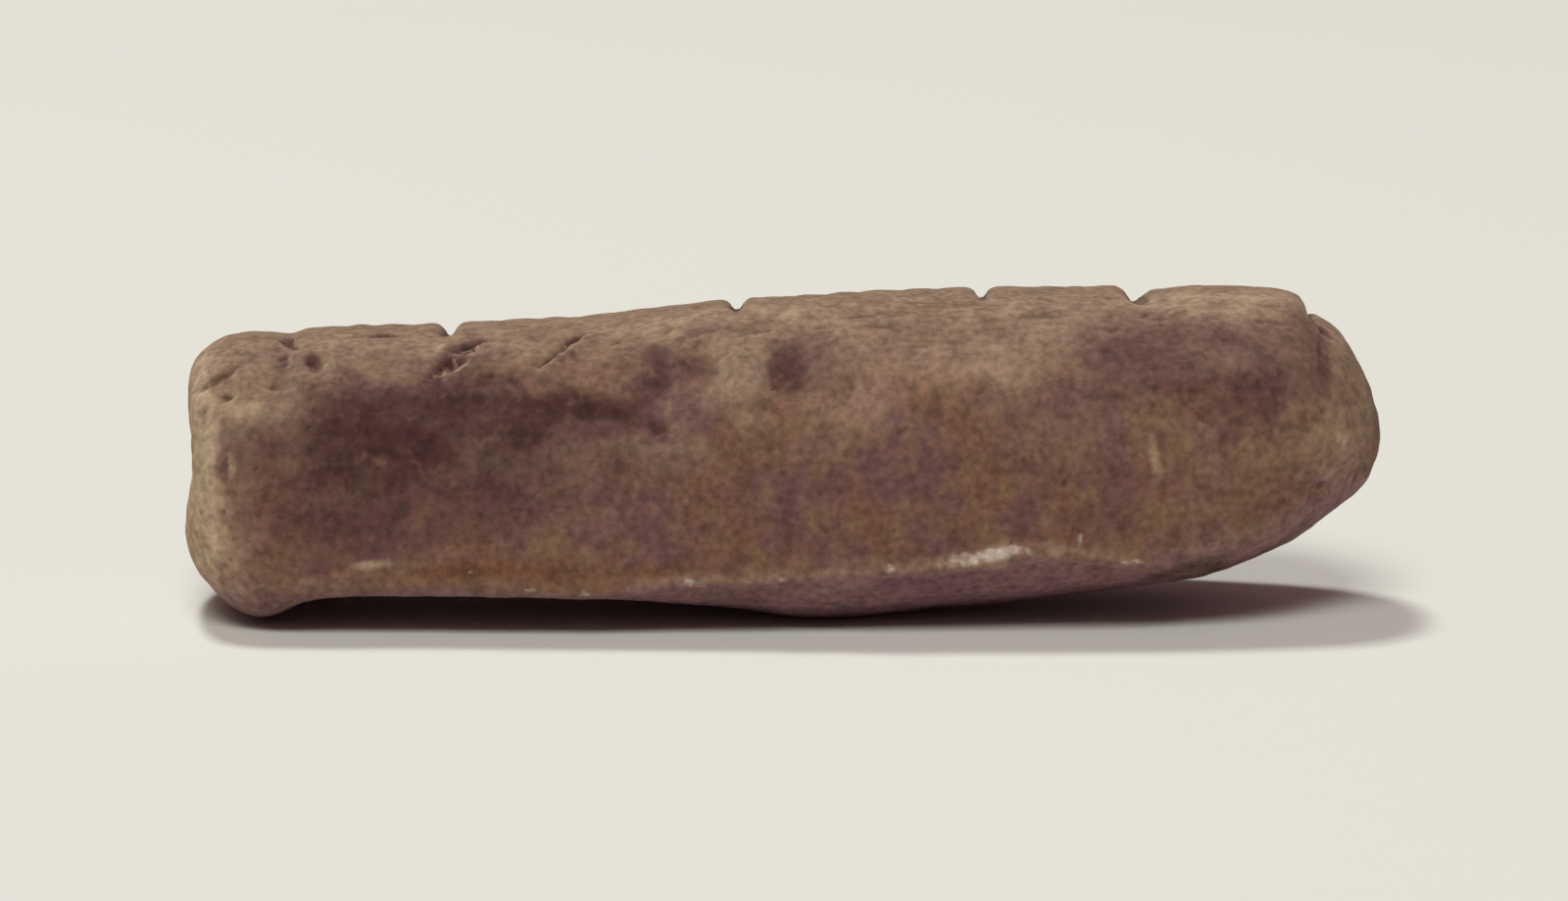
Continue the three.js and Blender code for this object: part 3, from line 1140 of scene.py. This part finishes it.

# Where each tint lies: smoky brown and purple where the fire was starved, pale tan and whitish
# where the clay is worn, rust near the lower edge, and lime on that edge. Some patches paint
# light
# and shade instead: painted shade in the dents, on the lower facet and the underside, painted
# light on the crown, the squared end and the heel, and painted highlights along the lower edge.
PATCHES = {
    Tint.BUFF_AND_PAINTED_LIGHT: {
        # Partly worn pale clay, partly painted top light: the whole crown is made paler as if lit
        # from above.
        Side.CROWN: (Patch((0.5, 0.54), 60.0, 6.0, 0.95),),
        # Painted light: the squared end is made paler as if lit from the left.
        Side.SQUARE_END: (Patch((0.4, 0.55), 9.0, 6.0, 1.0),),
        Side.FRONT: (
            Patch((0.06, 0.8), 3.2, 1.9, 0.75),
            Patch((0.473, 0.8), 0.7, 1.9, 0.75, 8.0),
            Patch((0.4, 0.588), 2.4, 0.25, 0.4),
            Patch((0.66, 0.85), 5.0, 1.1, 0.55),
            Patch((0.96, 0.55), 1.8, 2.6, 0.55),
            # Painted light: the heel is made paler, standing in for the bright haze on it.
            Patch((0.015, 0.2), 1.6, 1.8, 0.9),
            Patch((0.7, 0.6), 3.0, 1.0, 0.35),
            Patch((0.953, 0.52), 0.8, 1.8, 0.6),
            Patch((0.99, 0.7), 0.6, 2.4, 0.6),
            Patch((0.311, 0.85), 0.35, 0.25, 1.0),
        ),
    },
    Tint.BLUSH_AND_PAINTED_HIGHLIGHT: {
        Side.FRONT: (
            Patch((0.216, 0.77), 0.7, 0.35, 0.5),
            Patch((0.62, 0.8), 4.6, 1.6, 0.6),
            Patch((0.555, 0.7), 1.6, 0.8, 0.75),
            Patch((0.43, 0.79), 0.6, 0.9, 0.5),
            Patch((0.33, 0.84), 3.0, 0.7, 0.45),
            Patch((0.045, 0.33), 1.5, 3.4, 0.8),
            Patch((0.71, 0.27), 2.0, 0.45, 0.6),
            Patch((0.3, 0.36), 4.0, 1.1, 0.45),
            # Painted highlights: the next three patches lay a pale pinkish line of light along
            # the worn lower edge.
            Patch((0.46, 0.178), 4.5, 0.3, 1.0, 1.0),
            Patch((0.58, 0.205), 3.4, 0.3, 1.0, 5.0),
            Patch((0.755, 0.245), 2.6, 0.3, 0.9, -6.0),
        ),
    },
    Tint.OLIVE: {
        Side.FRONT: (
            Patch((0.15, 0.48), 1.4, 0.9, 0.5),
            Patch((0.04, 0.76), 2.6, 1.8, 0.5),
            Patch((0.17, 0.83), 2.0, 0.8, 0.5),
            Patch((0.4, 0.5), 1.6, 0.8, 0.5),
            Patch((0.69, 0.55), 3.4, 1.4, 0.5),
            Patch((0.83, 0.55), 2.0, 1.2, 0.5),
        ),
    },
    Tint.RUST: {
        Side.FRONT: (
            Patch((0.28, 0.188), 8.5, 0.6, 0.95),
            Patch((0.08, 0.4), 2.0, 2.0, 0.5),
            Patch((0.145, 0.92), 1.2, 0.2, 0.6),
        ),
        Side.BACK: (Patch((0.75, 0.2), 8.0, 1.0, 0.8),),
    },
    Tint.PLUM_AND_PAINTED_SHADE: {
        Side.FRONT: (
            Patch((0.078, 0.84), 1.0, 0.3, 0.8),
            Patch((0.04, 0.78), 1.0, 0.22, 0.8, 20.0),
            Patch((0.17, 0.86), 1.2, 0.35, 0.6, 12.0),
            Patch((0.345, 0.62), 2.6, 1.2, 0.75),
            Patch((0.31, 0.5), 2.6, 1.2, 0.2),
            Patch((0.18, 0.58), 8.0, 2.9, 1.0),
            Patch((0.407, 0.8), 2.0, 1.15, 0.9),
            Patch((0.522, 0.83), 2.1, 1.1, 0.75),
            Patch((0.43, 0.915), 2.0, 0.35, 0.8),
            Patch((0.475, 0.62), 2.2, 1.0, 0.35),
            Patch((0.2, 0.4), 6.0, 1.6, 0.4),
            Patch((0.24, 0.825), 1.5, 0.5, 0.9, 29.0),
            Patch((0.32, 0.835), 1.4, 0.4, 0.7, 31.0),
            Patch((0.094, 0.8), 0.9, 0.6, 0.5),
            # Painted shade: the lower facet of the left half is darkened purple where it faces
            # down into shade.
            Patch((0.2, 0.11), 9.0, 0.5, 0.9),
            Patch((0.772, 0.85), 1.3, 1.5, 0.8),
            Patch((0.915, 0.83), 1.8, 1.5, 0.9),
            Patch((0.86, 0.82), 4.6, 1.9, 1.0),
            Patch((0.9, 0.6), 1.4, 1.6, 0.4),
            Patch((0.11, 0.3), 2.2, 1.4, 0.5),
            # Painted shade: more purple darkening on the lower facet of the left half, which
            # faces down into shade.
            Patch((0.2, 0.09), 9.0, 0.8, 0.6),
        ),
        Side.BACK: (Patch((0.3, 0.7), 5.0, 2.0, 0.7),),
    },
    # Painted shade: a dull pinkish purple on the lower facet and the whole underside, standing in
    # for shade lit by light bounced off the table.
    Tint.PAINTED_UNDERSIDE_SHADE: {
        Side.FRONT: (
            Patch((0.47, 0.1), 9.0, 0.7, 0.9),
            Patch((0.65, 0.1), 6.0, 0.9, 1.0, 2.0),
            Patch((0.77, 0.12), 3.0, 0.7, 0.9, 8.0),
        ),
        Side.UNDER: (Patch((0.5, 0.5), 60.0, 12.0, 1.0),),
    },
    Tint.SMOKE: {
        Side.FRONT: (
            Patch((0.15, 0.6), 3.6, 2.0, 1.0),
            Patch((0.235, 0.64), 3.0, 2.0, 1.0),
            Patch((0.305, 0.69), 2.2, 1.0, 0.9),
            # Painted shade: the next six patches darken the dents and the pit where shade falls
            # in them.
            Patch((0.36, 0.69), 1.4, 0.7, 0.6),
            Patch((0.403, 0.645), 0.75, 0.45, 0.55),
            Patch((0.388, 0.79), 0.9, 0.9, 0.5),
            Patch((0.437, 0.82), 0.8, 0.5, 0.5),
            Patch((0.494, 0.8), 0.6, 1.1, 0.55, -18.0),
            Patch((0.111, 0.812), 0.4, 0.32, 1.0),
            # Painted shade: the next four patches darken the lower edge towards the nose, which
            # faces down into shade.
            Patch((0.75, 0.115), 2.2, 0.35, 0.8, 6.0),
            Patch((0.825, 0.16), 2.4, 0.5, 1.0, 13.0),
            Patch((0.86, 0.16), 2.4, 0.5, 1.0, 20.0),
            Patch((0.915, 0.25), 1.8, 0.45, 0.9, 32.0),
        ),
        Side.BACK: (Patch((0.6, 0.55), 7.0, 3.0, 0.9),),
        # Painted shade on the underside.
        Side.UNDER: (Patch((0.4, 0.5), 9.0, 3.0, 0.7),),
    },
    Tint.BONE: {
        Side.CROWN: (
            # Partly pale wear, partly painted highlight: the next two patches lighten the crown's
            # front lip where the top light catches it.
            Patch((0.55, 0.36), 16.0, 1.5, 0.25),
            Patch((0.86, 0.4), 4.0, 2.0, 0.3),
        ),
        Side.FRONT: (
            # Painted light: the left end's edge is made paler as if lit from the left.
            Patch((-0.002, 0.58), 1.5, 4.6, 1.0),
            Patch((0.218, 0.85), 0.6, 0.35, 0.45),
            Patch((0.165, 0.232), 0.8, 0.2, 0.8),
            Patch((0.803, 0.555), 0.36, 1.25, 0.62, 14.0),
            Patch((0.96, 0.59), 0.3, 0.6, 0.6),
            Patch((0.948, 0.48), 0.3, 0.45, 0.45),
            Patch((0.998, 0.66), 0.5, 2.6, 0.7),
            Patch((0.66, 0.24), 2.4, 0.5, 0.6, 8.0),
            Patch((0.035, 0.86), 1.0, 0.4, 0.6),
            Patch((0.065, 0.7), 1.1, 0.5, 0.5),
            Patch((0.13, 0.86), 0.9, 0.35, 0.5),
            # Painted light: the heel is made paler, standing in for the bright haze on it.
            Patch((0.01, 0.25), 1.1, 1.6, 0.6),
        ),
        # Painted light: the squared end is made paler as if lit from the left.
        Side.SQUARE_END: (Patch((0.4, 0.5), 9.0, 6.0, 0.8),),
    },
    Tint.LIME: {
        Side.FRONT: (
            Patch((0.682, 0.265), 1.0, 0.26, 0.9, 8.0),
            Patch((0.65, 0.235), 1.6, 0.45, 0.75, 8.0),
            Patch((0.715, 0.245), 1.2, 0.3, 0.4, -6.0),
            Patch((0.588, 0.224), 0.36, 0.24, 0.95),
            Patch((0.425, 0.168), 0.7, 0.18, 0.85),
            Patch((0.49, 0.182), 1.6, 0.16, 0.65),
            Patch((0.339, 0.14), 0.4, 0.17, 1.0),
            Patch((0.295, 0.145), 0.4, 0.1, 0.7),
            Patch((0.244, 0.2), 0.16, 0.16, 0.8),
            Patch((0.743, 0.307), 0.16, 0.4, 0.9),
            Patch((0.785, 0.235), 0.9, 0.18, 0.7, -4.0),
            Patch((0.311, 0.85), 0.16, 0.12, 0.8),
        ),
    },
}


@dataclass
class SealBody:
    """The seal's one piece of clay.

    Sizes are in millimetres, and spans are shares of the seal's length.
    """

    finish: FiredClay = field(default_factory=FiredClay)
    node: str = "seal_body"
    name: str = "seal_clay"
    body: str = "root"
    slot: str = "fired_clay"
    face_size: float = 0.177
    facet_passes: int = 45
    cavity_passes: int = 60
    cavity_reach: float = 0.12
    weld_gap: float = 0.001
    guide_step: float = 0.25
    fewest_steps: int = 4
    shallowest: float = 0.05
    narrowest: float = 0.6
    least_porosity: float = 0.2
    squared_end: Span = (0.04, 0.16)
    nose_end: Span = (0.86, 0.97)

    def build(self) -> bpy.types.Object:
        """Make the piece and tie it to the frame.

        Returns:
            The finished piece.
        """
        piece = self.fine_copy()
        skin = Skin(piece)
        skin.points = skin.smoothed(self.facet_passes)
        skin.write()
        for side, hollows in HOLLOWS.items():
            for hollow in hollows:
                skin.dent(side, hollow)
        skin.write()
        clay = self.finish.material()
        guides = self.guides(skin)
        ThumbedClay().apply(piece, {"Clay": clay})
        ScoredLines().apply(piece, {"Clay": clay, "Guides": guides})
        bpy.data.objects.remove(guides)
        skin = Skin(piece)
        skin.store("porosity", self.porosity(skin))
        coarse = Pores("Coarse pores", seed=17, per_mm2=0.012, least=0.18, most=0.3)
        coarse.apply(piece, {"Clay": clay})
        Pores("Pores", seed=23, per_mm2=0.35, least=0.1, most=0.2).apply(piece, {"Clay": clay})
        skin = Skin(piece)
        self.settle(skin)
        self.stain_and_paint_light(skin)
        piece.data.shade_smooth()
        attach(piece, self.body)
        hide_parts(self.node)
        return piece

    def fine_copy(self) -> bpy.types.Object:
        """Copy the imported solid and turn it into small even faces.

        Returns:
            The new object.
        """
        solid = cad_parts[self.node]
        mesh = solid.data.copy()
        mesh.materials.clear()
        piece = bpy.data.objects.new(self.name, mesh)
        bpy.context.scene.collection.objects.link(piece)
        weld = piece.modifiers.new("Weld", "WELD")
        weld.merge_threshold = self.weld_gap * MM
        fine = piece.modifiers.new("Fine faces", "REMESH")
        fine.mode = "VOXEL"
        fine.voxel_size = self.face_size * MM
        bake_modifiers(piece)
        return piece

    def guides(self, skin: Skin) -> bpy.types.Object:
        """Lay the cuts' guide lines on the skin.

        Args:
            skin: The skin that they lie on.

        Returns:
            An object of edges with a half width and a depth at each point.
        """
        points, edges, half_widths, depths = [], [], [], []
        for side, cut in [(side, cut) for side, cuts in CUTS.items() for cut in cuts]:
            ends = [skin.point(side, place) for place in cut.route]
            length = sum((b - a).length for a, b in zip(ends, ends[1:]))
            steps = max(self.fewest_steps, round(length / (self.guide_step * MM)))
            first = len(points)
            for step in range(steps + 1):
                share = step / steps
                points.append(skin.point(side, self.along_route(cut.route, share)))
                reach = min(1.0, min(share, 1.0 - share) / cut.fade + self.shallowest)
                taper = self.narrowest + (1.0 - self.narrowest) * reach
                half_widths.append(cut.width / 2 * MM * taper)
                depths.append(cut.depth * MM * reach)
            edges += [(i, i + 1) for i in range(first, first + steps)]
        mesh = bpy.data.meshes.new("guides")
        mesh.from_pydata(points, edges, [])
        for name, values in (("half_width", half_widths), ("depth", depths)):
            mesh.attributes.new(name, "FLOAT", "POINT").data.foreach_set("value", values)
        lines = bpy.data.objects.new("guides", mesh)
        bpy.context.scene.collection.objects.link(lines)
        bpy.context.view_layer.update()
        return lines

    @staticmethod
    def along_route(route: tuple[Place, ...], share: float) -> Place:
        """Find a place on a route.

        Args:
            route: The places that the route joins with straight legs.
            share: How far along it the place is, with every leg counted alike.

        Returns:
            The place.
        """
        leg = min(int(share * (len(route) - 1)), len(route) - 2)
        part = share * (len(route) - 1) - leg
        (a, b), (c, d) = route[leg], route[leg + 1]
        return (a + (c - a) * part, b + (d - b) * part)

    def porosity(self, skin: Skin) -> np.ndarray:
        """Say how pitted each part of the skin is: most at both ends, least in the middle.

        Args:
            skin: The skin.

        Returns:
            A number from 0 to 1 for each vertex.
        """
        share = (skin.points[:, 0] - skin.low[0]) / (skin.high[0] - skin.low[0])
        ends = 1.0 - smoothstep(*self.squared_end, share) + smoothstep(*self.nose_end, share)
        return self.least_porosity + (1.0 - self.least_porosity) * np.clip(ends, 0.0, 1.0)

    def settle(self, skin: Skin) -> None:
        """Rub the underside flat on the table, and bring the relief back to the seal's size.

        Args:
            skin: The skin to change.
        """
        skin.points[:, 2] = np.maximum(skin.points[:, 2], skin.low[2])
        low, high = skin.points.min(axis=0), skin.points.max(axis=0)
        shares = (skin.points - low) / (high - low)
        skin.points = skin.low + shares * (skin.high - skin.low)
        skin.write()

    def stain_and_paint_light(self, skin: Skin) -> None:
        """Store the tints, the painted light and shade, and where the clay is hollow or ridged.

        Args:
            skin: The skin whose mesh gets the attributes.
        """
        for tint, sides in PATCHES.items():
            total = np.zeros(len(skin.points))
            for side, patches in sides.items():
                facing = skin.facing(side)
                for patch in patches:
                    size = min(patch.width, patch.height)
                    across, over = skin.offsets(side, patch.place, patch.tilt, size).T
                    share = np.exp(-((across / patch.width) ** 2) - (over / patch.height) ** 2)
                    total += patch.strength * share * facing
            skin.store(tint.value, np.clip(total, 0.0, 1.0))
        level = skin.points.copy()
        for _ in range(self.cavity_passes):
            level = skin.average(level)
        depth = np.einsum("ij,ij->i", level - skin.points, skin.normals) / MM
        skin.store("cavity", np.clip(0.5 + 0.5 * depth / self.cavity_reach, 0.0, 1.0))


@dataclass(frozen=True)
class Lamp:
    """A square soft box, leaning by some degrees from straight above the seal.

    Its distance and size are in millimetres, and its power is in watts.
    """

    name: str
    lean_back: float
    lean_right: float
    distance: float
    size: float
    power: float


@dataclass
class Studio:
    """A pale table under two soft boxes, with the camera low at the seal's side.

    Sizes are in millimetres and angles in degrees.
    """

    elevation: float = 9.5
    distance: float = 260.0
    picture_share: float = 0.7613
    sensor: float = 36.0
    aim_up: float = 0.4877
    aim_right: float = 0.035
    nearest: float = 10.0
    table_size: float = 4000.0
    table_gap: float = 0.005
    finish: TableTop = field(default_factory=TableTop)
    front_lamp: Lamp = Lamp(
        "front_box", lean_back=-37.0, lean_right=-6.0, distance=2400.0, size=1000.0, power=30.0
    )
    back_lamp: Lamp = Lamp(
        "back_box", lean_back=18.0, lean_right=-12.0, distance=1200.0, size=190.0, power=7.2
    )
    sky: str = "#ffcbd8"
    sky_strength: float = 0.15

    def build(self) -> None:
        """Put up the table, the lamps, the sky and the camera."""
        low, high = (np.array(corner) for corner in CAD_BOX)
        self.target = Vector(
            (
                (low[0] + high[0]) / 2 + self.aim_right * MM,
                (low[1] + high[1]) / 2,
                low[2] + (high[2] - low[2]) * self.aim_up,
            )
        )
        self.length = high[0] - low[0]
        self.ground = low[2]
        self.table()
        self.hang(self.front_lamp)
        self.hang(self.back_lamp)
        self.world()
        self.camera()
        bpy.context.scene.view_settings.view_transform = "Standard"

    def table(self) -> None:
        """Lay the table just under the seal."""
        half = self.table_size / 2 * MM
        level = self.ground - self.table_gap * MM
        corners = [(x * half, y * half, level) for x, y in ((-1, -1), (1, -1), (1, 1), (-1, 1))]
        mesh = bpy.data.meshes.new("table")
        mesh.from_pydata(corners, [], [(0, 1, 2, 3)])
        table = bpy.data.objects.new("table", mesh)
        bpy.context.scene.collection.objects.link(table)
        mesh.materials.append(self.finish.material())

    def hang(self, lamp: Lamp) -> None:
        """Hang one lamp and turn it to the seal.

        Args:
            lamp: The lamp.
        """
        light = bpy.data.lights.new(lamp.name, "AREA")
        light.size = lamp.size * MM
        light.energy = lamp.power
        box = bpy.data.objects.new(lamp.name, light)
        bpy.context.scene.collection.objects.link(box)
        lean = Vector(
            (math.tan(math.radians(lamp.lean_right)), math.tan(math.radians(lamp.lean_back)), 1.0)
        )
        box.location = self.target + lean.normalized() * lamp.distance * MM
        box.rotation_euler = (self.target - box.location).to_track_quat("-Z", "Y").to_euler()

    def world(self) -> None:
        """Surround the scene with a dim warm sky."""
        world = bpy.data.worlds.new("room")
        world.use_nodes = True
        back = next(n for n in world.node_tree.nodes if n.type == "BACKGROUND")
        back.inputs["Color"].default_value = linear(self.sky)
        back.inputs["Strength"].default_value = self.sky_strength
        bpy.context.scene.world = world

    def camera(self) -> None:
        """Stand the camera at the seal's side, looking slightly down."""
        lens = bpy.data.cameras.new("camera")
        lens.sensor_width = self.sensor
        width = self.length / self.picture_share
        lens.lens = self.sensor * self.distance * MM / width
        lens.clip_start = self.nearest * MM
        camera = bpy.data.objects.new("camera", lens)
        bpy.context.scene.collection.objects.link(camera)
        tilt = math.radians(self.elevation)
        look = Vector((0, math.cos(tilt), -math.sin(tilt)))
        camera.matrix_world = (
            Matrix.Translation(self.target - look * self.distance * MM)
            @ look.to_track_quat("-Z", "Y").to_matrix().to_4x4()
        )
        bpy.context.scene.camera = camera


def main() -> None:
    """Build every piece in order and report it."""
    logging.basicConfig(level=logging.INFO, format="%(name)s: %(message)s")
    Studio().build()
    piece = SealBody().build()
    triangles = sum(len(face.vertices) - 2 for face in piece.data.polygons)
    log.info("%s: %d triangles", piece.name, triangles)


if __name__ == "__main__":
    main()
